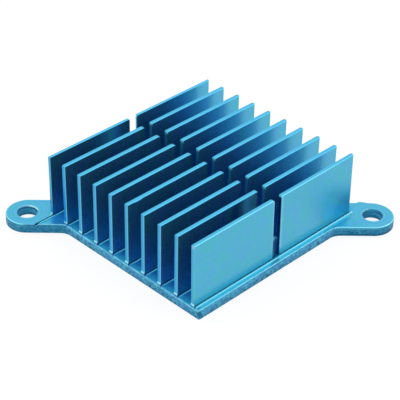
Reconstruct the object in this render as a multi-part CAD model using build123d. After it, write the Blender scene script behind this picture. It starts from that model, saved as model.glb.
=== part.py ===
from build123d import *
import math
import os

# A skived heat sink: one piece of aluminium. Thin upright fins are shaved up from a square plate,
# one slot crosses them all, and a round-ended ear with a screw hole reaches out of two corners.
# X runs across the fins, Y along them and Z up. The origin is the centre of the plate's underside.
# All sizes are in millimetres, and angles in degrees.

# Plate
PLATE_WIDTH = 37.2
PLATE_DEPTH = 37.5
PLATE_THICKNESS = 1.83
CORNER_RADIUS = 0.3
TOP_EDGE_RADIUS = 0.25
BOTTOM_EDGE_BREAK = 0.08

# Ears, on one line through the middle of the plate
HOLE_SPACING = 59.0
EAR_WIDTH = 7.4
EAR_ANGLE = 45.5
EAR_ROOT_RADIUS = 2.6

# Screw holes, punched: a straight land from the top, then a slight flare where the metal broke out
HOLE_DIAMETER = 3.5
HOLE_LAND = 0.95
HOLE_FLARE = 0.05
HOLE_EDGE_RADIUS = 0.14

# A hump on the far side of one ear, where its round end was milled a little outside the straight side
HUMP_HEIGHT = 0.32
HUMP_START = 2.5
HUMP_STEP = 0.4
HUMP_LAND = 0.5
HUMP_TAPER = 1.5

# Fins
OVERALL_HEIGHT = 13.58
FIN_PITCH = 3.8
FIN_THICKNESS = 0.75
FIRST_FIN_THICKNESS = 0.5
LAST_FIN_MARGIN = 1.18
FIRST_FIN_MARGIN = 1.1
FIN_EDGE_BREAK = 0.1

# A fin's ends stand back a little above a heel that is flush with the plate's side
FIN_SETBACK = 0.04
HEEL_HEIGHT = 0.28
HEEL_SLOPE = 0.1

# The last fin is bent back a little, in degrees from upright
LAST_FIN_LEAN = 0.73

# The slot across all the fins, and the corners on its near side that the saw rolled over
SLOT_WIDTH = 1.65
SLOT_OFFSET = 0.17
ROLLED_CORNER_RADIUS = 0.5

# What shaving leaves at a fin's root: a hollow radius behind it, a notch and a raised lip before it
ROOT_RADIUS = 0.22
NOTCH_WIDTH = 0.2
NOTCH_DEPTH = 0.24
NOTCH_OVERRUN = 0.45
LIP_HEIGHT = 0.12
LIP_CREST = 0.04
LIP_SLOPE = 0.22

# A burr left standing in the slot at the last fin, bent back, with a crack between it and the fin
BURR_REACH = 1.05
BURR_THICKNESS = 0.25
BURR_SETBACK = 0.1
BURR_BEND = 17.0
BURR_CRACK = 0.1
BURR_HEIGHT = 4.0

# A knock in the top edge of one fin, which is counted back from the last: it pushed the edge forwards
KNOCK_FIN = 4
KNOCK_FROM_END = 2.3
KNOCK_LENGTH = 2.0
KNOCK_PUSH = 0.17


def ear_direction():
    return Vector(math.cos(math.radians(EAR_ANGLE)), math.sin(math.radians(EAR_ANGLE)))


def hump_outline():
    """The hump on an ear's side, in the ear's own frame: X runs outwards from the hole."""
    side = EAR_WIDTH / 2
    foot = -HUMP_START
    crest = foot + HUMP_STEP
    shoulder = crest + HUMP_LAND
    end = shoulder + HUMP_TAPER
    with BuildSketch() as sketch:
        with BuildLine():
            Polyline((foot, 0), (foot, side), (crest, side + HUMP_HEIGHT), (shoulder, side + HUMP_HEIGHT))
            Spline((shoulder, side + HUMP_HEIGHT), (end, side), tangents=((1, 0), (1, 0)))
            Polyline((end, side), (end, 0), (foot, 0))
        make_face()
    return sketch.sketch


def lies_on_plate_edge(vertex):
    """Counts the plate's edge lines that a point of the outline lies on: 1 at an ear's root, 2 at a corner."""
    on_side = math.isclose(abs(vertex.X), PLATE_WIDTH / 2, abs_tol=1e-6)
    on_end = math.isclose(abs(vertex.Y), PLATE_DEPTH / 2, abs_tol=1e-6)
    return on_side + on_end


def plan():
    """The outline of plate and ears, seen from above."""
    hole = ear_direction() * (HOLE_SPACING / 2)
    with BuildSketch() as sketch:
        Rectangle(PLATE_WIDTH, PLATE_DEPTH)
        SlotCenterToCenter(HOLE_SPACING, EAR_WIDTH, rotation=EAR_ANGLE)
        ear_roots = sketch.vertices().filter_by(lambda vertex: lies_on_plate_edge(vertex) == 1)
        fillet(ear_roots, EAR_ROOT_RADIUS)
        corners = sketch.vertices().filter_by(lambda vertex: lies_on_plate_edge(vertex) == 2)
        fillet(corners, CORNER_RADIUS)
        add(Pos(hole.X, hole.Y) * Rot(0, 0, EAR_ANGLE) * hump_outline())
    return sketch.sketch


def screw_hole():
    """What the punch takes out of an ear, around Z, with its rounded rim."""
    radius = HOLE_DIAMETER / 2
    rim = radius + HOLE_EDGE_RADIUS
    shoulder = PLATE_THICKNESS - HOLE_EDGE_RADIUS
    with BuildSketch(Plane.XZ) as section:
        with BuildLine():
            Line((0, PLATE_THICKNESS), (rim, PLATE_THICKNESS))
            RadiusArc((rim, PLATE_THICKNESS), (radius, shoulder), -HOLE_EDGE_RADIUS)
            Polyline(
                (radius, shoulder),
                (radius, PLATE_THICKNESS - HOLE_LAND),
                (radius + HOLE_FLARE, 0),
                (0, 0),
                (0, PLATE_THICKNESS),
            )
        make_face()
    return revolve(section.sketch, Axis.Z)


def plate():
    """The flat plate with its ears, before the fins are shaved up."""
    solid = extrude(plan(), PLATE_THICKNESS)
    solid = fillet(solid.edges().group_by(Axis.Z)[-1], TOP_EDGE_RADIUS)
    solid = chamfer(solid.edges().group_by(Axis.Z)[0], BOTTOM_EDGE_BREAK)
    hole = ear_direction() * (HOLE_SPACING / 2)
    for place in (hole, -hole):
        solid -= Pos(place.X, place.Y) * screw_hole()
    return solid


def fin_faces():
    """X of each fin's front face, from the last fin back to the first, for as long as the plate has room."""
    last = PLATE_WIDTH / 2 - LAST_FIN_MARGIN
    room = PLATE_WIDTH - LAST_FIN_MARGIN - FIRST_FIN_THICKNESS - FIRST_FIN_MARGIN
    count = int(room / FIN_PITCH) + 1
    return [last - index * FIN_PITCH for index in range(count)]


def fin_rows():
    """The two rows of fins, each as the Y of its outer end and of its end at the slot."""
    near = -PLATE_DEPTH / 2, SLOT_OFFSET - SLOT_WIDTH / 2
    far = PLATE_DEPTH / 2, SLOT_OFFSET + SLOT_WIDTH / 2
    return near, far


def half_fin(face, thickness, row_end, slot_end):
    """One fin of one row, with its heel at the row's end and its edges broken above the heel."""
    outwards = math.copysign(1, row_end)
    foot = PLATE_THICKNESS / 2
    heel = PLATE_THICKNESS + HEEL_HEIGHT
    ledge = heel + HEEL_SLOPE
    with BuildSketch(Plane.YZ.offset(face)) as side:
        with BuildLine():
            Polyline(
                (row_end, foot),
                (row_end, heel),
                (row_end - outwards * FIN_SETBACK, ledge),
                (row_end - outwards * FIN_SETBACK, OVERALL_HEIGHT),
                (slot_end, OVERALL_HEIGHT),
                (slot_end, foot),
                close=True,
            )
        make_face()
        if outwards < 0:
            corner = side.vertices().group_by(Axis.Y)[-1].sort_by(Axis.X)[-1]
            fillet(corner, ROLLED_CORNER_RADIUS)
    solid = extrude(side.sketch, -thickness)
    rims = solid.edges().filter_by(lambda edge: edge.bounding_box().size.X < thickness / 2)
    return chamfer(rims.filter_by(lambda edge: edge.center().Z > ledge), FIN_EDGE_BREAK)


def leaning(face, shape):
    """Tips what belongs to the last fin back, about the line where the fin's face meets the plate."""
    if face != fin_faces()[0]:
        return shape
    foot = Pos(face, 0, PLATE_THICKNESS)
    return foot * Rot(0, -LAST_FIN_LEAN, 0) * foot.inverse() * shape


def along_fins(section, start, end):
    """Draws a section, given in X and Z, out along Y."""
    return Pos(0, start, 0) * extrude(section, end - start, dir=(0, 1, 0))


def fin_root(back):
    """Section of the hollow radius where a fin's back runs into the plate."""
    sunk = PLATE_THICKNESS - NOTCH_DEPTH
    top = PLATE_THICKNESS + ROOT_RADIUS
    with BuildSketch(Plane.XZ) as section:
        with BuildLine():
            RadiusArc((back - ROOT_RADIUS, PLATE_THICKNESS), (back, top), -ROOT_RADIUS)
            Polyline(
                (back, top),
                (back + FIN_EDGE_BREAK, top),
                (back + FIN_EDGE_BREAK, sunk),
                (back - ROOT_RADIUS, sunk),
                (back - ROOT_RADIUS, PLATE_THICKNESS),
            )
        make_face()
    return section.sketch


def notch(face):
    """Section of the notch before a fin."""
    with BuildSketch(Plane.XZ) as section:
        with BuildLine():
            Polyline(
                (face, PLATE_THICKNESS + LIP_HEIGHT * 2),
                (face, PLATE_THICKNESS - NOTCH_DEPTH),
                (face + NOTCH_WIDTH / 2, PLATE_THICKNESS - NOTCH_DEPTH),
                (face + NOTCH_WIDTH, PLATE_THICKNESS + LIP_HEIGHT * 2),
                close=True,
            )
        make_face()
    return section.sketch


def lip(face):
    """Section of the raised lip along the notch, with the stretch that sinks it into the plate."""
    edge = face + NOTCH_WIDTH / 2
    crest = face + NOTCH_WIDTH + LIP_CREST
    top = PLATE_THICKNESS + LIP_HEIGHT
    sunk = PLATE_THICKNESS - NOTCH_DEPTH
    with BuildSketch(Plane.XZ) as section:
        with BuildLine():
            Polyline(
                (edge, sunk),
                (edge, top),
                (crest, top),
                (crest + LIP_SLOPE, PLATE_THICKNESS),
                (crest + LIP_SLOPE, sunk),
                close=True,
            )
        make_face()
    return section.sketch


def burr(face, slot_near):
    """The burr that stands in the slot. Its front bends back from the crack, and its root grips the fin."""
    foot = PLATE_THICKNESS / 2
    bend = math.tan(math.radians(BURR_BEND))
    front = face - BURR_SETBACK
    tip = front - (BURR_REACH - BURR_CRACK) * bend
    root = front - BURR_CRACK
    with BuildSketch(Plane.XY.offset(foot)) as section:
        with BuildLine():
            Polyline(
                (root, slot_near - FIN_THICKNESS / 2),
                (root, slot_near + BURR_CRACK),
                (front, slot_near + BURR_CRACK),
                (tip, slot_near + BURR_REACH),
                (tip - BURR_THICKNESS / 2, slot_near + BURR_REACH),
                (root - BURR_THICKNESS, slot_near - FIN_THICKNESS / 2),
                close=True,
            )
        make_face()
    return extrude(section.sketch, PLATE_THICKNESS + BURR_HEIGHT - foot)


def dent(surface, near):
    """What a knock pushes forwards out of an upright surface, or into it from behind, below the fin's top."""
    radius = (KNOCK_LENGTH**2 / 4 + KNOCK_PUSH**2) / (2 * KNOCK_PUSH)
    middle = near + KNOCK_FROM_END
    ball = Pos(surface + KNOCK_PUSH - radius, middle, OVERALL_HEIGHT - FIN_EDGE_BREAK) * Sphere(radius)
    room = Pos(surface, middle, OVERALL_HEIGHT - FIN_EDGE_BREAK) * Box(
        KNOCK_PUSH * 4, KNOCK_LENGTH, KNOCK_LENGTH, align=(Align.MIN, Align.CENTER, Align.MAX)
    )
    return ball & room


def fins():
    """Every half fin with the hollow radius behind its root, and the burr at the last one."""
    faces = fin_faces()
    near_row, far_row = fin_rows()
    pieces = [leaning(faces[0], burr(faces[0], near_row[1]))]
    for index, face in enumerate(faces):
        thickness = FIRST_FIN_THICKNESS if face == faces[-1] else FIN_THICKNESS
        near_fin = half_fin(face, thickness, *near_row)
        if index == KNOCK_FIN:
            near_fin = near_fin + dent(face, near_row[0]) - dent(face - thickness, near_row[0])
        pieces += [leaning(face, near_fin), leaning(face, half_fin(face, thickness, *far_row))]
        root = fin_root(face - thickness)
        pieces.append(along_fins(root, near_row[0] + FIN_SETBACK, near_row[1]))
        pieces.append(along_fins(root, far_row[1], far_row[0] - FIN_SETBACK))
    return pieces


def heat_sink():
    notch_run = (-(HOLE_SPACING + EAR_WIDTH) / 2, PLATE_DEPTH / 2 + NOTCH_OVERRUN)
    flat_top = extrude(offset(plan(), -TOP_EDGE_RADIUS), OVERALL_HEIGHT)
    lips = [along_fins(lip(face), *notch_run) & flat_top for face in fin_faces()]
    notches = [leaning(face, along_fins(notch(face), *notch_run)) for face in fin_faces()]
    body = plate().fuse(*[solid for ridge in lips for solid in ridge.solids()]).cut(*notches)
    return body.fuse(*fins()).clean()


os.makedirs("parts", exist_ok=True)
part = heat_sink()
part.label = "heat_sink"
export_step(part, "parts/heat_sink.step")
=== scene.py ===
import math
from collections import namedtuple

import bpy
from mathutils import Matrix, Vector

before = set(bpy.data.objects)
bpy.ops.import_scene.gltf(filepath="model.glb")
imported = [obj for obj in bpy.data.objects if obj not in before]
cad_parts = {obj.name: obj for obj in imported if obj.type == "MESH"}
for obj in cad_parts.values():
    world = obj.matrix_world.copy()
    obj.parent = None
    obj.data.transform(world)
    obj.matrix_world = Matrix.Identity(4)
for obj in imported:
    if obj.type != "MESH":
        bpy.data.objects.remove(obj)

# A skived heat sink of blue anodised aluminium on a white floor.
# The CAD solid keeps its shape; this script gives it its finish, its light and its camera.
# X runs across the fins, Y along them and Z up. The finish works in millimetres, the rest in metres.

MM = 0.001

# Camera, fitted to the photograph's frame of 400 by 400 pixels
IMAGE_SIDE = 400
SENSOR_WIDTH_MM = 36.0
FOCAL_PIXELS = 1413.91
CAMERA_AZIMUTH = 44.474
CAMERA_ELEVATION = 34.789
CAMERA_ROLL = 1.162
CAMERA_PLACE_MM = (138.071, -140.753, 141.566)
CLIP_START = 0.01

# Floor, lamps and light paths
FLOOR_HALF_SIDE = 3.0
FLOOR_GLOW = 1.05
FLOOR_GLOW_SHARE = 0.8
LAMP_SIDE = 0.4
RIGHT_LAMP_PLACE = (0.42, 0.42, 0.42)
RIGHT_LAMP_POWER = 0.45
LEFT_LAMP_PLACE = (-0.42, -0.42, 0.42)
LEFT_LAMP_POWER = 0.25
GLOSSY_BOUNCES = 12

# Sizes of the part that the finish follows, in millimetres and degrees
HOLE_SPACING = 59.0
HOLE_RADIUS = 1.75
EAR_WIDTH = 7.4
EAR_ANGLE = 45.5
HOLE_PLACE = (
    HOLE_SPACING / 2 * math.cos(math.radians(EAR_ANGLE)),
    HOLE_SPACING / 2 * math.sin(math.radians(EAR_ANGLE)),
)
PLATE_TOP = 1.83
PLATE_HALF_WIDTH = 18.6
PLATE_HALF_DEPTH = 18.75
HEEL_TOP = 2.11
FIN_COUNT = 10
FIN_TOP = 13.58
FIN_PITCH = 3.8
LAST_FIN_FACE = 17.42
FIRST_FIN_FACE = LAST_FIN_FACE - (FIN_COUNT - 1) * FIN_PITCH
NEAR_END = -18.71
SLOT_MIDDLE = 0.17
SLOT_HALF_WIDTH = 0.825
SLOT_FAR_END = SLOT_MIDDLE + SLOT_HALF_WIDTH
BURR_TOP = 5.83
NOTCH_WIDTH = 0.2
LIP_TOP = 1.95
LIP_FOOT = 0.46

# Single limits of the finish, in millimetres. Places within CLOSE of each other count as one, a mask
# reaches SKIN past its face, and distances before a fin's face start BEHIND_FACE behind it.
CLOSE = 0.02
SKIN = 0.1
BEHIND_FACE = 0.3
TOP_BAND = FIN_TOP - 0.12
SIDE_TOP = PLATE_TOP - 0.04
HEEL_SIDE_RISE = HEEL_TOP + 0.04 - PLATE_TOP
ON_PLATE_HALF_WIDTH = PLATE_HALF_WIDTH - 0.3
FIRST_FIN_TO = FIRST_FIN_FACE + 0.5
FIRST_CHANNEL_FROM = FIRST_FIN_FACE + 1.5
LAST_FIN_FROM = LAST_FIN_FACE - 1.0
LAST_FRONT_FROM = LAST_FIN_FACE - 0.5
INNER_FACES_TO = LAST_FIN_FACE - 0.4
OUTER_FACE_FROM = LAST_FIN_FACE - 0.3
LAST_NOTCH_REACH = PLATE_HALF_DEPTH - 0.2
RIM_RADIUS = HOLE_RADIUS + 0.3
EAR_END_RADIUS = EAR_WIDTH / 2 + 0.4
SLOT_REGION = 3.0

# Bands of height, in millimetres above the underside
HEEL_FOOT = (HEEL_TOP - 0.04, HEEL_TOP)
HEEL_CROWN = (HEEL_TOP + 0.2, HEEL_TOP + 0.4)
FOOT_START = (PLATE_TOP + 0.2, PLATE_TOP + 0.4)
FOOT_FADE = (PLATE_TOP + 0.7, PLATE_TOP + 1.9)
SAWN_START = (FIN_TOP - 0.6, FIN_TOP - 0.25)
LIP_HEIGHTS = (PLATE_TOP + 0.01, LIP_TOP + 0.03)
LIP_CREST = (PLATE_TOP + 0.05, PLATE_TOP + 0.1)
PLATE_TOP_HEIGHTS = (PLATE_TOP - CLOSE, PLATE_TOP + CLOSE)
NOTCH_HEIGHTS = (PLATE_TOP - 0.3, LIP_TOP - 0.01)
OPEN_NOTCH_HEIGHTS = (PLATE_TOP - 0.2, PLATE_TOP + CLOSE)
HIGH_LINE_HEIGHTS = (PLATE_TOP - 0.12, PLATE_TOP + 0.005)
LOW_LINE_START = (PLATE_TOP - 0.45, PLATE_TOP - 0.3)
LOW_LINE_FADE = (PLATE_TOP - 0.12, PLATE_TOP - 0.05)
EAR_LINE_HEIGHTS = (PLATE_TOP - 0.15, PLATE_TOP - 0.02)
BELOW_EAR_LINE = (PLATE_TOP - 0.5, PLATE_TOP - 0.15)
RIM_START = (PLATE_TOP - 0.24, PLATE_TOP - 0.16)
# Band over which the plate's sides grow paler upward.
PALER_UPWARD = (0.1, PLATE_TOP - 0.4)
EAR_SIDE_FOOT = (0.2, 0.7)
BORE_FOOT = (0.1, 0.9)

# Bands across the fins
CHANNELS = (FIRST_FIN_FACE, LAST_FIN_FACE - SKIN)
NOTCHES = (FIRST_FIN_FACE - SKIN, LAST_FIN_FACE + NOTCH_WIDTH)
OPEN_NOTCH = (FIRST_FIN_FACE - 0.24, FIRST_FIN_FACE + CLOSE)
FIRST_FINS = (-14.0, -10.0)
LAST_FINS = (12.0, 16.5)
LEFT_EAR_END = (-19.0, -17.8)
SIDE_LINE = (PLATE_HALF_WIDTH - 0.6, PLATE_HALF_WIDTH - 0.42)

# Bands along the fins
OPEN_NOTCH_RUN = (-22.5, -PLATE_HALF_DEPTH)
SAWN_ENDS = (SLOT_FAR_END - 0.12, SLOT_FAR_END + 0.12)
STREAK_FADE = (3.0, 9.0)
LAST_FRONT_FADE = (9.0, 18.0)
SIDE_LINE_FADE = (10.0, 12.0)

# Bands of the distance from the middle toward either end of the fins
FLUSH_HEELS = (PLATE_HALF_DEPTH - 0.04, PLATE_HALF_DEPTH - 0.02)
HEEL_ENDS = (PLATE_HALF_DEPTH - 0.12, PLATE_HALF_DEPTH - 0.09)
FLOOR_FADE = (PLATE_HALF_DEPTH - 0.4, PLATE_HALF_DEPTH + 1.8)
STRIP_FADE = (PLATE_HALF_DEPTH - 1.25, PLATE_HALF_DEPTH - 0.55)
TOWARD_CHANNEL_END = (PLATE_HALF_DEPTH - 1.9, PLATE_HALF_DEPTH - 0.4)
CHANNEL_END = (PLATE_HALF_DEPTH - 0.35, PLATE_HALF_DEPTH - 0.15)

# Bands of the distance before a fin's face, behind it, from the slot's middle and from a hole's axis
IN_NOTCH = (BEHIND_FACE - 0.03, BEHIND_FACE + NOTCH_WIDTH - 0.01)
LIP_SLOPE = (BEHIND_FACE + NOTCH_WIDTH / 2, BEHIND_FACE + LIP_FOOT + 0.04)
END_FRONT = (0.25, 0.55)
BESIDE_SLOT = (SLOT_HALF_WIDTH + 0.15, SLOT_HALF_WIDTH + 0.5)
RIM_RING = (HOLE_RADIUS - 0.02, HOLE_RADIUS + 0.16)
SEAT_END = (HOLE_RADIUS + 1.6, HOLE_RADIUS + 2.0)

# Limits of how far a surface faces along an axis: 0 is not at all, 1 is squarely
ROUNDED = (0.80, 0.975)
UPRIGHT = (0.2, 0.5)
PLATE_SIDE = (0.5, 0.85)
LEVEL = (0.5, 0.9)
ENDWISE = (0.8, 0.9)
TOP_LINE = (0.6, 0.85)
PLATE_LINE = (0.75, 0.92)
EAR_LINE = (0.5, 0.75)
LOW_LINE = (0.9, 0.97)
MORE_ALONG = (-0.1, 0.1)

# Limits between which a noise field leads from one dye to the next
CLOUD_SPLIT = (0.38, 0.62)
SPLIT = (0.42, 0.58)
RING_SPLIT = (0.4, 0.6)
SEAT_SPLIT = (0.5, 0.62)
TINGE_SPLIT = (0.48, 0.62)
UNEVEN_SPLIT = (0.35, 0.6)
CHIP_SPLIT = (0.35, 0.5)

# Noise fields: the larger the scale, the finer the grain; stretch is along X, Y and Z, and less is longer
Noise = namedtuple("Noise", "scale detail roughness stretch")
EVEN = (1.0, 1.0, 1.0)
CLOUD = Noise(0.35, 3.0, 0.5, EVEN)
PATCH = Noise(1.1, 2.0, 0.5, EVEN)
STREAK = Noise(1.6, 2.0, 0.5, (1.0, 1.0, 0.08))
FINE_STREAK = Noise(2.8, 2.0, 0.5, (1.0, 1.0, 0.05))
GRAIN = Noise(9.0, 2.0, 0.6, EVEN)
MOTTLE = Noise(1.9, 3.0, 0.65, (1.0, 1.0, 1.2))
SPECKLE = Noise(5.0, 2.0, 0.7, EVEN)
BORE_LAYERS = Noise(1.2, 2.0, 0.5, (0.25, 0.25, 4.0))
HOLE_RINGS = Noise(4.0, 1.0, 0.5, EVEN)
TINGE = Noise(1.5, 3.0, 0.6, EVEN)
TINGE_STEP = (7.0, 3.0, 5.0)

# The first field's part where two noise fields are blended
CLOUD_PART = 0.6
COARSE_PART = 0.65
EAR_PATCH_PART = 0.5

# How strongly a dye shows; two values are for the start and the end of its band
INNER_SHARE = 0.12
STREAK_SHARES = (0.5, 0.15)
END_DEEP_SHARES = (0.6, 0.0)
END_TEAL_SHARES = (0.0, 0.6)
BESIDE_SLOT_SHARES = (0.5, 0.0)
EAR_DYE_SHARE = 0.9
EDGE_SHARES = (0.9, 0.25)
LAST_FRONT_SHARES = (0.0, 0.8)
COARSE_SHARE = 0.8
PALER_UPWARD_SHARES = (-0.1, 0.35)
TINGE_SHARES = (0.0, 0.8)
EAR_SIDE_SHARE = 0.45
UNEVEN_SHARES = (0.35, 1.0)
EAR_LINE_SHARE = 0.9
BELOW_EAR_LINE_SHARE = 0.4
EAR_END_SHARE = 0.1
EAR_FOOT_SHARES = (0.8, 0.0)
SEAT_SHARES = (0.0, 0.35)
BORE_FOOT_SHARES = (0.7, 0.0)

# Dyes, painted light and painted shade as linear light: body and fins
DYE_BLUE = (0.082, 0.415, 0.67, 1.0)
DYE_TEAL = (0.072, 0.455, 0.575, 1.0)
DYE_INNER = (0.06, 0.33, 1.0, 1.0)
DYE_STREAK_BLUE = (0.165, 0.39, 0.80, 1.0)
DYE_STREAK_TEAL = (0.10, 0.56, 0.46, 1.0)
DYE_END_BLUE = (0.026, 0.30, 0.585, 1.0)
DYE_END_TEAL = (0.045, 0.40, 0.59, 1.0)
DYE_END_DEEP = (0.004, 0.33, 0.72, 1.0)
DYE_END_FIRST = (0.04, 0.38, 0.58, 1.0)
# Painted light on the fins' tops: a lighter top face, a painted highlight on the upper half of its edges,
# painted shade on their lower half, and a painted highlight on the last fin's near end.
PAINTED_TOP_LIGHT = (0.078, 0.50, 0.775, 1.0)
PAINTED_TOP_LINE_HIGHLIGHT = (0.09, 0.54, 0.80, 1.0)
PAINTED_TOP_BREAK_SHADE = (0.05, 0.40, 0.66, 1.0)
PAINTED_LAST_FRONT_HIGHLIGHT = (0.20, 0.60, 0.77, 1.0)
DYE_FOOT = (0.06, 0.33, 0.455, 1.0)
# Painted reflection of the right ear, low on the last fin's far end.
PAINTED_EAR_REFLECTION = (0.004, 0.36, 0.58, 1.0)
# Painted shade: the darker reflection on the ninth fin's face beside the slot.
PAINTED_SHADE = (0.006, 0.19, 0.36, 1.0)

# Dyes and painted shade of the slot
DYE_SLOT_END = (0.12, 0.85, 1.0, 1.0)
DYE_SLOT_END_FIRST = (0.045, 0.31, 0.58, 1.0)
DYE_SAWN = (0.22, 0.88, 1.0, 1.0)
# Painted shade for the last fin's slot ends and the burr in the slot.
PAINTED_SLOT_SHADE = (0.0, 0.085, 0.27, 1.0)

# Dyes, painted light and painted shade of the plate's top, the lips and the notches
# Painted light on the strip before the last fin and by the right ear.
PAINTED_STRIP_LIGHT = (0.14, 0.78, 0.97, 1.0)
# Painted light and shade on the channels' floors: darker deep inside, lighter toward the open ends.
PAINTED_CHANNEL_LIGHT = (0.05, 0.56, 0.90, 1.0)
PAINTED_CHANNEL_SHADE = (0.03, 0.33, 0.80, 1.0)
PAINTED_CHANNEL_END_LIGHT = (0.035, 0.44, 0.70, 1.0)
DYE_BY_LEFT_EAR = (0.02, 0.34, 0.90, 1.0)
# Painted highlight on the lips' crests and painted shade below them.
PAINTED_LIP_HIGHLIGHT = (0.20, 0.96, 1.0, 1.0)
PAINTED_LIP_SHADE = (0.012, 0.30, 0.68, 1.0)
DYE_LIP_FOOT = (0.05, 0.50, 0.75, 1.0)
DYE_NOTCH = (0.25, 0.46, 0.82, 1.0)
DYE_NOTCH_PALE = (0.30, 0.78, 0.88, 1.0)
# Painted shadow in the open notch's mouth over the left ear.
PAINTED_NOTCH_SHADOW = (0.002, 0.05, 0.14, 1.0)

# Dyes, painted highlights and painted shade of the edges, the sides, the ears and the holes
# Pale dye of thin anodising on edges, rims and seat rings, also used as a painted highlight on rounded
# edges.
THIN_DYE_AND_HIGHLIGHT = (0.20, 0.64, 0.82, 1.0)
# Pale dye used mostly as a painted highlight: the last fin's lip crest, the heels and a glint on the burr;
# also a pale spot at the last fin's tip by the slot.
PALE_WEAR_AND_HIGHLIGHT = (0.36, 0.84, 0.96, 1.0)
# Painted glint on the holes' rims and the first fin's heel.
PAINTED_GLINT = (0.55, 0.97, 1.0, 1.0)
# Painted highlight lines along the plate's and ears' upper edges.
PAINTED_EDGE_HIGHLIGHT = (0.19, 0.66, 0.88, 1.0)
PAINTED_HIGH_EDGE_HIGHLIGHT = (0.30, 0.84, 0.98, 1.0)
# Sheared grain's dark dye, also used as painted shade under the slot and at the right ear's foot.
DARK_SHEARED_DYE_AND_SHADE = (0.005, 0.12, 0.23, 1.0)
# Sheared grain's pale dye, also used as painted light under the ear's highlight line.
PALE_SHEARED_DYE_AND_LIGHT = (0.08, 0.45, 0.66, 1.0)
DYE_SHEARED_VIOLET = (0.055, 0.24, 0.55, 1.0)
DYE_EAR_BLUE = (0.082, 0.455, 0.79, 1.0)
DYE_EAR_TEAL = (0.066, 0.495, 0.655, 1.0)
BORE_DARK = (0.012, 0.18, 0.36, 1.0)
BORE_PALE = (0.06, 0.43, 0.67, 1.0)
# Painted shade toward the foot of the bores.
BORE_BOTTOM_SHADE = (0.004, 0.08, 0.19, 1.0)
BARE_CHIP = (0.34, 0.54, 0.64, 1.0)

# Floor and surround
FLOOR_WHITE = (0.92, 0.92, 0.92, 1.0)
PURE_WHITE = (1.0, 1.0, 1.0, 1.0)

# Marks that lie at one place, among them painted shade, painted glints and a painted reflection: their
# middle, their radius and how strongly they show.
# A mark is even over its core, which is this part of its radius, and fades from there.
SPOT_CORE = 0.55
Spot = namedtuple("Spot", "place radius share")
# Painted shade on the ninth fin's face beside the slot.
PAINTED_SHADE_BY_SLOT = Spot((LAST_FIN_FACE - FIN_PITCH, -4.3, 12.0), 3.2, 0.9)
# Painted reflection of the right ear, low on the last fin's far end.
EAR_REFLECTION_SPOT = Spot((LAST_FIN_FACE, 18.2, 3.2), 4.5, 0.5)
FAR_FOOT_DULL = Spot((LAST_FIN_FACE, 17.0, 4.0), 6.0, 0.13)
# Painted shade on the channel floor under the slot.
SHADE_UNDER_SLOT = Spot((LAST_FIN_FACE - 0.9, 1.0, PLATE_TOP), 1.2, 0.5)
BY_LEFT_EAR = Spot((-14.9, -18.7, PLATE_TOP), 1.9, 0.6)
# Painted light on the plate's top by the right ear.
LIGHT_BY_RIGHT_EAR = Spot((18.6, 15.4, PLATE_TOP), 2.0, 0.35)
DARK_CORNER = Spot((PLATE_HALF_WIDTH - 0.05, 0.05 - PLATE_HALF_DEPTH, 1.1), 0.65, 0.8)
# A pale spot at the last fin's top by the slot.
PALE_TIP = Spot((LAST_FIN_FACE - 0.1, -0.62, FIN_TOP - 0.1), 0.6, 0.4)
# Painted glint on the top of the burr in the slot.
BURR_GLINT = Spot((LAST_FIN_FACE - 0.25, -0.35, BURR_TOP), 0.55, 0.5)
# Painted glint on the first fin's heel.
FIRST_HEEL_GLINT = Spot((-17.15, -18.65, HEEL_TOP), 0.45, 0.8)
CHIP = Spot((LAST_FIN_FACE - 0.36, NEAR_END, FIN_TOP - 0.3), 0.34, 1.0)

# Painted highlights on the holes' rims: the hole's side, the step from its axis and how strongly they show
RIM_SPOT_RADIUS = 1.5
RIM_SPOTS = (
    (-1, (-0.2, 1.85), 0.85),
    (-1, (-1.6, 0.9), 0.3),
    (1, (-1.85, -0.2), 0.25),
)

# Shader values; relief heights are in millimetres
METALLIC = 0.93
ROUGHNESS = 0.24
ROUGHNESS_GRAIN = 0.08
ROUGHNESS_PLATE_SIDE = 0.20
ROUGHNESS_LEVEL = 0.10
ROUGHNESS_CHANNEL = 0.35
ROUGHNESS_SAWN = 0.5
RELIEF_GRAIN = 0.0025
RELIEF_STREAK = 0.004
RELIEF_SHEARED = 0.035
RELIEF_BORE = 0.05
RELIEF_SEAT = 0.015


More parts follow.
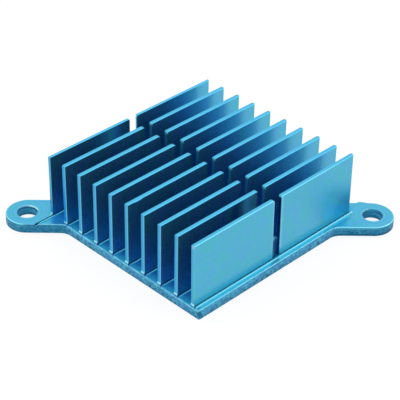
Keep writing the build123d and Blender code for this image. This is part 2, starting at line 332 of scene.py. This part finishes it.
class Graph:
    """Builds a node tree. A value is a number, a colour or vector, or another node's output."""

    def __init__(self, tree):
        self.tree = tree
        tree.nodes.clear()

    def put(self, socket, value):
        if isinstance(value, bpy.types.NodeSocket):
            self.tree.links.new(value, socket)
        else:
            socket.default_value = value

    def add(self, kind, inputs, output=0, **settings):
        node = self.tree.nodes.new("ShaderNode" + kind)
        for name, value in settings.items():
            setattr(node, name, value)
        for name, value in inputs.items():
            self.put(node.inputs[name], value)
        return node.outputs[output]

    def math(self, operation, first, second=0.0, third=0.0, clamp=False):
        return self.add("Math", {0: first, 1: second, 2: third}, operation=operation, use_clamp=clamp)

    def times(self, first, *others):
        for other in others:
            first = self.math("MULTIPLY", first, other)
        return first

    def plus(self, first, second, clamp=False):
        return self.math("ADD", first, second, clamp=clamp)

    def minus(self, first, second):
        return self.math("SUBTRACT", first, second)

    def opposite(self, mask):
        return self.minus(1.0, mask)

    def either(self, first, second):
        return self.math("MAXIMUM", first, second)

    def absolute(self, value):
        return self.math("ABSOLUTE", value)

    def wrap(self, value, period):
        return self.math("WRAP", value, period)

    def above(self, value, limit):
        return self.math("GREATER_THAN", value, limit)

    def below(self, value, limit):
        return self.math("LESS_THAN", value, limit)

    def within(self, value, low, high):
        """1 where a value lies between two limits."""
        return self.times(self.above(value, low), self.below(value, high))

    def ramp(self, value, low, high, to_low=0.0, to_high=1.0):
        """Runs smoothly from one value to another while the input goes from low to high."""
        inputs = {"Value": value, "From Min": low, "From Max": high, "To Min": to_low, "To Max": to_high}
        return self.add("MapRange", inputs, interpolation_type="SMOOTHSTEP")

    def fall(self, value, low, high):
        return self.ramp(value, low, high, 1.0, 0.0)

    def mix(self, factor, first, second):
        node = self.tree.nodes.new("ShaderNodeMix")
        node.data_type = "RGBA"
        self.put(node.inputs["Factor"], factor)
        self.put(node.inputs[6], first)
        self.put(node.inputs[7], second)
        return node.outputs[2]

    def scaled(self, vector, scale):
        return self.add("VectorMath", {0: vector, 1: scale}, operation="MULTIPLY")

    def moved(self, vector, step):
        return self.add("VectorMath", {0: vector, 1: step}, operation="ADD")

    def split(self, vector):
        node = self.tree.nodes.new("ShaderNodeSeparateXYZ")
        self.put(node.inputs[0], vector)
        return tuple(node.outputs)

    def noise(self, vector, noise):
        """A noise field, from 0 to 1."""
        return self.add("TexNoise", {
            "Vector": self.scaled(vector, noise.stretch),
            "Scale": noise.scale,
            "Detail": noise.detail,
            "Roughness": noise.roughness,
        })


class Surface:
    """Where a point of the part lies, which way it faces, and a mask for each part of the surface.

    A mask is 1 on its part of the surface and 0 elsewhere.
    """

    def __init__(self, graph):
        self.graph = graph
        self.place = graph.scaled(graph.add("TexCoord", {}, output="Object"), (1 / MM, 1 / MM, 1 / MM))
        self.x, self.y, self.z = graph.split(self.place)
        self.reach = graph.absolute(self.y)
        self.from_slot = graph.absolute(graph.minus(self.y, SLOT_MIDDLE))
        self.from_hole = self.hole_distance()
        normal = graph.split(graph.add("TexCoord", {}, output="Normal"))
        self.across, self.along, self.up = [graph.absolute(part) for part in normal]
        flattest = graph.either(graph.either(self.across, self.along), self.up)
        self.edge = graph.fall(flattest, *ROUNDED)
        self.upright = graph.fall(self.up, *UPRIGHT)
        self.level = graph.ramp(self.up, *LEVEL)
        self.mark_sides()
        self.mark_fins()
        self.mark_floor()
        self.mark_notches()
        self.mark_ears()
        self.mark_edge_lines()
        self.mark_ear_lines()
        self.mark_holes()

    def hole_distance(self):
        """How far a point lies from the nearer screw hole's axis."""
        graph = self.graph
        distances = []
        for side in (-1, 1):
            dx = graph.minus(self.x, side * HOLE_PLACE[0])
            dy = graph.minus(self.y, side * HOLE_PLACE[1])
            distances.append(graph.math("SQRT", graph.plus(graph.times(dx, dx), graph.times(dy, dy))))
        return graph.math("MINIMUM", *distances)

    def near(self, place, radius):
        """1 at a place, falling to 0 at a radius from it."""
        graph = self.graph
        offset = graph.add("VectorMath", {0: self.place, 1: place}, operation="SUBTRACT")
        distance = graph.add("VectorMath", {0: offset}, output="Value", operation="LENGTH")
        return graph.fall(distance, radius * SPOT_CORE, radius)

    def mark_sides(self):
        """Upright faces. The plate's ends reach up to the heels, which are flush with them."""
        graph = self.graph
        flush = graph.ramp(self.reach, *FLUSH_HEELS)
        side_top = graph.plus(SIDE_TOP, graph.times(flush, HEEL_SIDE_RISE))
        under_top = graph.below(self.z, side_top)
        self.plate_side = graph.times(graph.fall(self.up, *PLATE_SIDE), under_top)
        self.fin_side = graph.times(self.upright, graph.opposite(under_top))
        self.fin_end = graph.times(self.fin_side, graph.ramp(self.along, *ENDWISE))

    def mark_fins(self):
        """Tops, ends and faces of the fins, and the heels at their outer ends."""
        graph = self.graph
        heel_heights = graph.times(graph.ramp(self.z, *HEEL_FOOT), graph.fall(self.z, *HEEL_CROWN))
        self.heel = graph.times(heel_heights, graph.ramp(self.reach, *HEEL_ENDS))
        topmost = graph.above(self.z, TOP_BAND)
        self.fin_top = graph.times(self.level, topmost)
        self.top_line = graph.times(self.edge, topmost, graph.ramp(self.up, *TOP_LINE))
        self.top_front = graph.times(self.edge, topmost, graph.fall(self.up, *TOP_LINE))
        self.first_fin = graph.below(self.x, FIRST_FIN_TO)
        self.last_fin = graph.above(self.x, LAST_FIN_FROM)
        self.inner = graph.times(self.fin_side, graph.below(self.x, INNER_FACES_TO))
        self.outer = graph.times(self.fin_side, graph.above(self.x, OUTER_FACE_FROM))
        self.foot = graph.times(self.outer, graph.fall(self.z, *FOOT_FADE))
        sawn_end = graph.within(self.y, *SAWN_ENDS)
        self.sawn = graph.times(self.fin_side, sawn_end, graph.ramp(self.z, *SAWN_START))

    def mark_floor(self):
        """The shaved floor of the channels, and the strip of it before the last fin."""
        graph = self.graph
        self.low = graph.below(self.z, PLATE_TOP + CLOSE)
        self.outside = graph.above(self.x, LAST_FIN_FACE - SKIN)
        on_plate = graph.below(graph.absolute(self.x), ON_PLATE_HALF_WIDTH)
        shaved = graph.times(self.level, self.low, on_plate, graph.fall(self.reach, *FLOOR_FADE))
        self.strip = graph.times(shaved, self.outside, graph.fall(self.reach, *STRIP_FADE))
        self.channel = graph.times(shaved, graph.within(self.x, *CHANNELS))

    def mark_notches(self):
        """The notch before each fin and the raised lip beyond it, by the distance before the fin's face,
        and the painted shadow at the open notch's mouth over the left ear.
        """
        graph = self.graph
        before = graph.wrap(graph.plus(self.x, BEHIND_FACE - LAST_FIN_FACE), FIN_PITCH)
        raised = graph.within(self.z, *LIP_HEIGHTS)
        self.lip = graph.times(self.level, raised, graph.within(before, *LIP_SLOPE))
        plate_top = graph.times(self.level, graph.within(self.z, *PLATE_TOP_HEIGHTS))
        sunk = graph.times(graph.opposite(plate_top), graph.within(self.z, *NOTCH_HEIGHTS))
        self.notch = graph.times(sunk, graph.within(self.x, *NOTCHES), graph.within(before, *IN_NOTCH))
        self.last_notch = graph.times(self.notch, self.outside, graph.below(self.reach, LAST_NOTCH_REACH))
        mouth = graph.times(graph.within(self.z, *OPEN_NOTCH_HEIGHTS), graph.within(self.x, *OPEN_NOTCH))
        self.open_notch_shadow = graph.times(mouth, graph.within(self.y, *OPEN_NOTCH_RUN))

    def mark_ears(self):
        """The two ears, the round end of each, and what lies off the holes' rims."""
        graph = self.graph
        beyond_end = graph.above(self.reach, PLATE_HALF_DEPTH + SKIN)
        beyond_side = graph.above(graph.absolute(self.x), PLATE_HALF_WIDTH + SKIN)
        self.on_ear = graph.either(beyond_end, beyond_side)
        self.right_half = graph.above(self.x, 0.0)
        self.ear_side = graph.times(self.plate_side, self.on_ear)
        self.ear_top = graph.times(self.level, self.low, self.on_ear)
        self.round_end = graph.below(self.from_hole, EAR_END_RADIUS)
        self.outermost = graph.times(self.round_end, graph.fall(self.x, *LEFT_EAR_END))
        self.end_side = graph.times(self.plate_side, self.outermost)
        self.off_hole = graph.above(self.from_hole, RIM_RADIUS)

    def mark_edge_lines(self):
        """The painted highlight line along the plate's top lies high on the sides that face X and low on
        those that face Y.
        """
        graph = self.graph
        straight = graph.times(graph.ramp(self.x, *SIDE_LINE), graph.fall(self.y, *SIDE_LINE_FADE))
        plate_line = graph.times(graph.either(self.edge, straight), graph.ramp(self.up, *PLATE_LINE))
        ear_line = graph.times(self.edge, graph.ramp(self.up, *EAR_LINE), self.on_ear)
        no_line = graph.either(self.round_end, self.right_half)
        ear_line = graph.times(ear_line, graph.opposite(no_line))
        upper = graph.within(self.z, *HIGH_LINE_HEIGHTS)
        lower = graph.times(graph.ramp(self.z, *LOW_LINE_START), graph.fall(self.z, *LOW_LINE_FADE))
        faces_y = graph.ramp(graph.minus(self.along, self.across), *MORE_ALONG)
        faces_y = graph.times(faces_y, graph.opposite(self.on_ear))
        high_line = graph.times(upper, graph.either(plate_line, ear_line), graph.opposite(faces_y))
        low_line = graph.times(lower, faces_y, graph.fall(self.up, *LOW_LINE))
        self.edge_high = graph.times(high_line, self.off_hole)
        self.edge_low = graph.times(low_line, self.off_hole)

    def mark_ear_lines(self):
        """The right ear's painted highlight line with a paler band below it, and the left ear's at its
        outer end only.
        """
        graph = self.graph
        lined = graph.times(self.on_ear, graph.either(self.outermost, self.right_half))
        lined = graph.times(self.edge, lined, self.off_hole)
        self.ear_edge = graph.times(lined, graph.within(self.z, *EAR_LINE_HEIGHTS))
        self.below_ear_edge = graph.times(lined, graph.within(self.z, *BELOW_EAR_LINE))

    def mark_holes(self):
        """Bores, rounded rims, and the ring round each hole where a screw or push pin seats."""
        graph = self.graph
        at_hole = graph.below(self.from_hole, RIM_RADIUS)
        self.bore = graph.times(self.plate_side, at_hole)
        self.rim = graph.times(self.edge, at_hole)
        self.rim_band = graph.times(graph.within(self.from_hole, *RIM_RING), graph.ramp(self.z, *RIM_START))
        self.seat = graph.times(self.level, graph.fall(self.from_hole, *SEAT_END))


class Finish:
    """Blue anodised aluminium with painted light and shade. Each dye or painted tone is laid over the ones
    before it, so the order counts.
    """

    def __init__(self, graph):
        self.graph = graph
        self.at = Surface(graph)
        place = self.at.place
        self.patch = graph.noise(place, PATCH)
        self.streak = graph.noise(place, STREAK)
        self.grain = graph.noise(place, GRAIN)
        self.mottle = graph.noise(place, MOTTLE)
        self.speckle = graph.noise(place, SPECKLE)
        self.layers = graph.noise(place, BORE_LAYERS)
        self.ring = graph.noise(graph.add("CombineXYZ", {0: self.at.from_hole}), HOLE_RINGS)
        self.coarse = graph.ramp(self.blend(self.mottle, self.speckle, COARSE_PART), *SPLIT)
        cloud = self.blend(graph.noise(place, CLOUD), self.patch, CLOUD_PART)
        self.colour = self.either_dye(cloud, CLOUD_SPLIT, DYE_BLUE, DYE_TEAL)

    def blend(self, first, second, part):
        """Two noise fields as one; the part is the first one's."""
        return self.graph.plus(self.graph.times(first, part), self.graph.times(second, 1.0 - part))

    def either_dye(self, field, split, low_dye, high_dye):
        return self.graph.mix(self.graph.ramp(field, *split), low_dye, high_dye)

    def lay(self, dye, *masks):
        """Lays a dye over the colour so far, as strongly as the product of the masks says."""
        self.colour = self.graph.mix(self.graph.times(*masks), self.colour, dye)

    def lay_spot(self, dye, spot, mask=1.0):
        near = self.at.near(spot.place, spot.radius)
        self.lay(dye, self.graph.times(mask, near), spot.share)

    def dye_fin_ends(self):
        """Ends go from teal at the face to blue behind it, deep at the first fins and teal at the last."""
        graph, at = self.graph, self.at
        behind_face = graph.wrap(graph.minus(LAST_FIN_FACE, at.x), FIN_PITCH)
        dye = graph.mix(graph.ramp(behind_face, *END_FRONT), DYE_END_TEAL, DYE_END_BLUE)
        dye = graph.mix(graph.ramp(at.x, *FIRST_FINS, *END_DEEP_SHARES), dye, DYE_END_DEEP)
        dye = graph.mix(graph.ramp(at.x, *LAST_FINS, *END_TEAL_SHARES), dye, DYE_TEAL)
        dye = graph.mix(at.first_fin, dye, DYE_END_FIRST)
        self.lay(dye, at.fin_end)
        # The last fin's slot ends get painted shade.
        slot_dye = graph.mix(at.last_fin, DYE_SLOT_END, PAINTED_SLOT_SHADE)
        slot_dye = graph.mix(at.first_fin, slot_dye, DYE_SLOT_END_FIRST)
        self.lay(slot_dye, at.fin_end, graph.below(at.reach, SLOT_REGION))

    def dye_fin_faces(self):
        """Streaks between the fins, the painted shade on the ninth fin, a painted highlight along the
        slot's edges on the last fin, and painted shade on the burr.
        """
        graph, at = self.graph, self.at
        self.lay(DYE_INNER, at.inner, INNER_SHARE)
        fine_streak = graph.noise(at.place, FINE_STREAK)
        dye = self.either_dye(fine_streak, SPLIT, DYE_STREAK_BLUE, DYE_STREAK_TEAL)
        share = graph.ramp(at.y, *STREAK_FADE, *STREAK_SHARES)
        self.lay(dye, at.inner, graph.opposite(at.fin_end), share)
        # Painted shade on the ninth fin's face beside the slot.
        self.lay_spot(PAINTED_SHADE, PAINTED_SHADE_BY_SLOT, at.fin_side)
        # Painted highlight along the slot's edges on the last fin's outer face.
        self.lay(THIN_DYE_AND_HIGHLIGHT, at.outer, graph.ramp(at.from_slot, *BESIDE_SLOT, *BESIDE_SLOT_SHARES))
        in_slot = graph.below(at.from_slot, SLOT_HALF_WIDTH - CLOSE)
        below_top = graph.below(at.z, BURR_TOP + SKIN)
        # Painted shade on the burr in the last fin's slot.
        self.lay(PAINTED_SLOT_SHADE, in_slot, below_top, at.last_fin, at.fin_side)

    def dye_tops(self):
        """Ear tops, thin dye with painted highlights on all rounded edges, and the fins' top faces and
        edges with painted light and shade.
        """
        graph, at = self.graph, self.at
        ear_cloud = self.blend(self.patch, self.mottle, EAR_PATCH_PART)
        self.lay(self.either_dye(ear_cloud, SPLIT, DYE_EAR_BLUE, DYE_EAR_TEAL), at.ear_top, EAR_DYE_SHARE)
        # Thin dye with a painted highlight on all rounded edges.
        self.lay(THIN_DYE_AND_HIGHLIGHT, at.edge, graph.ramp(at.upright, 0.0, 1.0, *EDGE_SHARES))
        # Painted light on the fins' top faces, painted highlights on the upper halves of their edges and
        # painted shade on the lower halves, lighter on the last fin toward its near end.
        self.lay(PAINTED_TOP_LIGHT, at.fin_top)
        self.lay(PAINTED_TOP_LINE_HIGHLIGHT, at.top_line)
        toward_far_end = graph.ramp(at.y, *LAST_FRONT_FADE, *LAST_FRONT_SHARES)
        last_front = graph.mix(toward_far_end, PAINTED_LAST_FRONT_HIGHLIGHT, PAINTED_TOP_BREAK_SHADE)
        self.lay(graph.mix(graph.above(at.x, LAST_FRONT_FROM), PAINTED_TOP_BREAK_SHADE, last_front), at.top_front)

    def dye_floor(self):
        """Painted light on the strip before the last fin and by the right ear, and the channels with
        painted shade deep inside, painted light toward their ends and painted shade under the slot.
        """
        graph, at = self.graph, self.at
        # Painted light on the strip before the last fin.
        self.lay(PAINTED_STRIP_LIGHT, at.strip)
        # The channels' floors get painted shade deep inside and painted light toward their ends.
        dye = graph.mix(graph.ramp(at.reach, *TOWARD_CHANNEL_END), PAINTED_CHANNEL_SHADE, PAINTED_CHANNEL_LIGHT)
        at_end = graph.times(graph.ramp(at.reach, *CHANNEL_END), graph.above(at.x, FIRST_CHANNEL_FROM))
        dye = graph.mix(at_end, dye, PAINTED_CHANNEL_END_LIGHT)
        # Painted shade on the channel floor under the slot.
        shade_under_slot = graph.times(at.near(SHADE_UNDER_SLOT.place, SHADE_UNDER_SLOT.radius), SHADE_UNDER_SLOT.share)
        self.lay(graph.mix(shade_under_slot, dye, DARK_SHEARED_DYE_AND_SHADE), at.channel)
        # Painted light on the plate's top by the right ear.
        self.lay_spot(PAINTED_STRIP_LIGHT, LIGHT_BY_RIGHT_EAR, at.level)
        self.lay_spot(DYE_BY_LEFT_EAR, BY_LEFT_EAR, at.level)

    def dye_roots(self):
        """Lips with painted highlights on their crests, the last fin's foot with a painted reflection of
        the ear at its far end, and painted highlights on the heels.
        """
        graph, at = self.graph, self.at
        # The channels' lips get a painted highlight on their crests and painted shade below; the last fin's
        # lip a pale painted highlight.
        crest = graph.ramp(at.z, *LIP_CREST)
        channel_lip = graph.mix(crest, PAINTED_LIP_SHADE, PAINTED_LIP_HIGHLIGHT)
        last_lip = graph.mix(crest, DYE_LIP_FOOT, PALE_WEAR_AND_HIGHLIGHT)
        self.lay(graph.mix(graph.above(at.x, LAST_FIN_FACE), channel_lip, last_lip), at.lip)
        self.lay(DYE_FOOT, at.foot, graph.ramp(at.z, *FOOT_START))
        # Painted reflection of the right ear, low on the last fin's far end.
        self.lay_spot(PAINTED_EAR_REFLECTION, EAR_REFLECTION_SPOT, at.fin_side)
        # Painted highlight along the heels.
        self.lay(PALE_WEAR_AND_HIGHLIGHT, at.heel)

    def dye_plate_sides(self):
        """Sheared grain, paler toward the top, with a violet tinge; darker round the ears."""
        graph, at = self.graph, self.at
        paler_upward = graph.ramp(at.z, *PALER_UPWARD, *PALER_UPWARD_SHARES)
        pale = graph.plus(graph.times(self.coarse, COARSE_SHARE), paler_upward, clamp=True)
        dye = graph.mix(pale, DARK_SHEARED_DYE_AND_SHADE, PALE_SHEARED_DYE_AND_LIGHT)
        tinge = graph.noise(graph.moved(at.place, TINGE_STEP), TINGE)
        dye = graph.mix(graph.ramp(tinge, *TINGE_SPLIT, *TINGE_SHARES), dye, DYE_SHEARED_VIOLET)
        dye = graph.mix(graph.times(at.ear_side, EAR_SIDE_SHARE), dye, DARK_SHEARED_DYE_AND_SHADE)
        self.lay(dye, at.plate_side)

    def dye_edge_lines(self):
        """Painted highlight lines along the upper edges, and painted shade at the foot of the right ear's
        side.
        """
        graph, at = self.graph, self.at
        uneven = graph.ramp(self.patch, *UNEVEN_SPLIT, *UNEVEN_SHARES)
        # Painted highlight lines along the upper edges, uneven in strength.
        self.lay(PAINTED_EDGE_HIGHLIGHT, at.edge_low, uneven)
        self.lay(PAINTED_HIGH_EDGE_HIGHLIGHT, at.edge_high, uneven)
        self.lay(PAINTED_HIGH_EDGE_HIGHLIGHT, at.ear_edge, EAR_LINE_SHARE)
        # A paler band under the ear's painted highlight line, and a slightly paler outer end of the left
        # ear, both painted light.
        self.lay(PALE_SHEARED_DYE_AND_LIGHT, at.below_ear_edge, BELOW_EAR_LINE_SHARE)
        self.lay(PALE_SHEARED_DYE_AND_LIGHT, at.end_side, EAR_END_SHARE)
        # Painted shade at the foot of the right ear's side, near the floor.
        side_foot = graph.ramp(at.z, *EAR_SIDE_FOOT, *EAR_FOOT_SHARES)
        self.lay(DARK_SHEARED_DYE_AND_SHADE, at.ear_side, at.right_half, side_foot)

    def dye_notches(self):
        """The holes' rims in thin dye with painted highlights, and the notches with a painted shadow at
        their open end over the left ear.
        """
        # Thin dye with a painted highlight on the holes' rims.
        self.lay(THIN_DYE_AND_HIGHLIGHT, self.at.rim)
        self.lay(DYE_NOTCH, self.at.notch)
        self.lay(DYE_NOTCH_PALE, self.at.last_notch)
        # Painted shadow at the notch's open end over the left ear.
        self.lay(PAINTED_NOTCH_SHADOW, self.at.open_notch_shadow)

    def dye_holes(self):
        """Faint rings round the holes, banded bores with painted shade toward their foot, and painted
        highlights on the rims.
        """
        graph, at = self.graph, self.at
        self.lay(THIN_DYE_AND_HIGHLIGHT, at.seat, graph.ramp(self.ring, *SEAT_SPLIT, *SEAT_SHARES))
        bore_dye = self.either_dye(self.layers, RING_SPLIT, BORE_DARK, BORE_PALE)
        # Painted shade toward the foot of the bores.
        at_bottom = graph.ramp(at.z, *BORE_FOOT, *BORE_FOOT_SHARES)
        self.lay(graph.mix(at_bottom, bore_dye, BORE_BOTTOM_SHADE), at.bore)
        # Painted highlights on the rims.
        for side, step, share in RIM_SPOTS:
            place = (side * HOLE_PLACE[0] + step[0], side * HOLE_PLACE[1] + step[1], PLATE_TOP)
            self.lay_spot(PAINTED_GLINT, Spot(place, RIM_SPOT_RADIUS, share), at.rim_band)

    def dye_marks(self):
        """Small marks that the photograph shows at one place each, and the sawn tips."""
        self.lay_spot(DARK_SHEARED_DYE_AND_SHADE, DARK_CORNER)
        # A pale spot at the last fin's top by the slot.
        self.lay_spot(PALE_WEAR_AND_HIGHLIGHT, PALE_TIP)
        # Painted glint on the first fin's heel.
        self.lay_spot(PAINTED_GLINT, FIRST_HEEL_GLINT)
        self.lay(DYE_SAWN, self.at.sawn)
        # Painted glint on the top of the burr.
        self.lay_spot(PALE_WEAR_AND_HIGHLIGHT, BURR_GLINT)
        self.lay_spot(BARE_CHIP, CHIP, self.graph.ramp(self.speckle, *CHIP_SPLIT))

    def total(self, start, parts):
        """A start value plus each mask times its weight."""
        graph = self.graph
        for mask, weight in parts:
            start = graph.plus(start, graph.times(mask, weight))
        return start

    def roughness(self):
        at = self.at
        far_foot = self.graph.times(at.fin_side, at.near(FAR_FOOT_DULL.place, FAR_FOOT_DULL.radius))
        return self.total(ROUGHNESS, (
            (self.grain, ROUGHNESS_GRAIN),
            (at.plate_side, ROUGHNESS_PLATE_SIDE),
            (at.level, ROUGHNESS_LEVEL),
            (at.channel, ROUGHNESS_CHANNEL),
            (far_foot, FAR_FOOT_DULL.share),
            (at.sawn, ROUGHNESS_SAWN),
        ))

    def relief(self):
        graph, at = self.graph, self.at
        height = self.total(graph.times(self.grain, RELIEF_GRAIN), (
            (graph.times(self.streak, at.fin_side), RELIEF_STREAK),
            (graph.times(self.coarse, at.plate_side), RELIEF_SHEARED),
            (graph.times(self.layers, at.bore), RELIEF_BORE),
            (graph.times(self.ring, at.seat), RELIEF_SEAT),
        ))
        return graph.add("Bump", {"Strength": 1.0, "Distance": MM, "Height": height})


def new_material(name):
    material = bpy.data.materials.new(name)
    material.use_nodes = True
    return material, Graph(material.node_tree)


def show(graph, shader, kind="OutputMaterial"):
    output = graph.tree.nodes.new("ShaderNode" + kind)
    graph.put(output.inputs["Surface"], shader)


def anodised_aluminium():
    """Blue anodised aluminium: streaked fins, sheared grain on the plate's sides, thin dye with painted
    highlights on edges, and painted light and shade in many places.
    """
    material, graph = new_material("blue_anodised_aluminium")
    finish = Finish(graph)
    finish.dye_fin_ends()
    finish.dye_fin_faces()
    finish.dye_tops()
    finish.dye_floor()
    finish.dye_roots()
    finish.dye_plate_sides()
    finish.dye_edge_lines()
    finish.dye_notches()
    finish.dye_holes()
    finish.dye_marks()
    show(graph, graph.add("BsdfPrincipled", {
        "Base Color": finish.colour,
        "Metallic": METALLIC,
        "Roughness": finish.roughness(),
        "Normal": finish.relief(),
    }))
    return material


def seen_directly(graph):
    """1 for rays that come from the camera or from a mirror-like or clear surface."""
    path = graph.tree.nodes.new("ShaderNodeLightPath")
    shown = graph.either(path.outputs["Is Camera Ray"], path.outputs["Is Glossy Ray"])
    return graph.either(shown, path.outputs["Is Transmission Ray"])


def floor_material():
    """White floor: most of what is seen is its own plain white, and the lit rest keeps the shadow."""
    material, graph = new_material("white_floor")
    lit = graph.add("BsdfDiffuse", {"Color": FLOOR_WHITE})
    plain = graph.add("Emission", {"Color": PURE_WHITE, "Strength": FLOOR_GLOW})
    share = graph.times(seen_directly(graph), FLOOR_GLOW_SHARE)
    show(graph, graph.add("MixShader", {0: share, 1: lit, 2: plain}))
    return material


def add_floor():
    half = FLOOR_HALF_SIDE
    corners = [(-half, -half, 0.0), (half, -half, 0.0), (half, half, 0.0), (-half, half, 0.0)]
    mesh = bpy.data.meshes.new("floor")
    mesh.from_pydata(corners, [], [(0, 1, 2, 3)])
    floor = bpy.data.objects.new("floor", mesh)
    bpy.context.scene.collection.objects.link(floor)
    floor.data.materials.append(floor_material())


def add_world():
    world = bpy.data.worlds.new("white_surround")
    bpy.context.scene.world = world
    world.use_nodes = True
    graph = Graph(world.node_tree)
    show(graph, graph.add("Background", {"Color": PURE_WHITE, "Strength": 1.0}), "OutputWorld")


def add_lamp(name, place, power):
    """A square soft box that faces the middle of the part."""
    lamp = bpy.data.lights.new(name, "AREA")
    lamp.shape = "SQUARE"
    lamp.size = LAMP_SIDE
    lamp.energy = power
    holder = bpy.data.objects.new(name, lamp)
    bpy.context.scene.collection.objects.link(holder)
    holder.location = place
    holder.rotation_euler = (-Vector(place)).to_track_quat("-Z", "Y").to_euler()


def camera_axes():
    """The camera's right, top and back directions. Its azimuth turns from -Y toward +X."""
    azimuth, elevation, roll = map(math.radians, (CAMERA_AZIMUTH, CAMERA_ELEVATION, CAMERA_ROLL))
    back = Vector((
        math.sin(azimuth) * math.cos(elevation),
        -math.cos(azimuth) * math.cos(elevation),
        math.sin(elevation),
    ))
    level = Vector((math.cos(azimuth), math.sin(azimuth), 0.0))
    upward = back.cross(level)
    right = level * math.cos(roll) + upward * math.sin(roll)
    top = upward * math.cos(roll) - level * math.sin(roll)
    return right, top, back


def add_camera():
    lens = bpy.data.cameras.new("camera")
    lens.sensor_width = SENSOR_WIDTH_MM
    lens.lens = FOCAL_PIXELS / IMAGE_SIDE * SENSOR_WIDTH_MM
    lens.clip_start = CLIP_START
    camera = bpy.data.objects.new("camera", lens)
    bpy.context.scene.collection.objects.link(camera)
    axes = Matrix(camera_axes()).transposed().to_4x4()
    camera.matrix_world = Matrix.Translation(Vector(CAMERA_PLACE_MM) * MM) @ axes
    bpy.context.scene.camera = camera


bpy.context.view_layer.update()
bpy.context.scene.view_settings.view_transform = "Standard"
bpy.context.scene.cycles.glossy_bounces = GLOSSY_BOUNCES

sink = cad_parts["heat_sink"]
sink.data.materials.clear()
sink.data.materials.append(anodised_aluminium())

add_floor()
add_world()
add_lamp("right_box", RIGHT_LAMP_PLACE, RIGHT_LAMP_POWER)
add_lamp("left_box", LEFT_LAMP_PLACE, LEFT_LAMP_POWER)
add_camera()
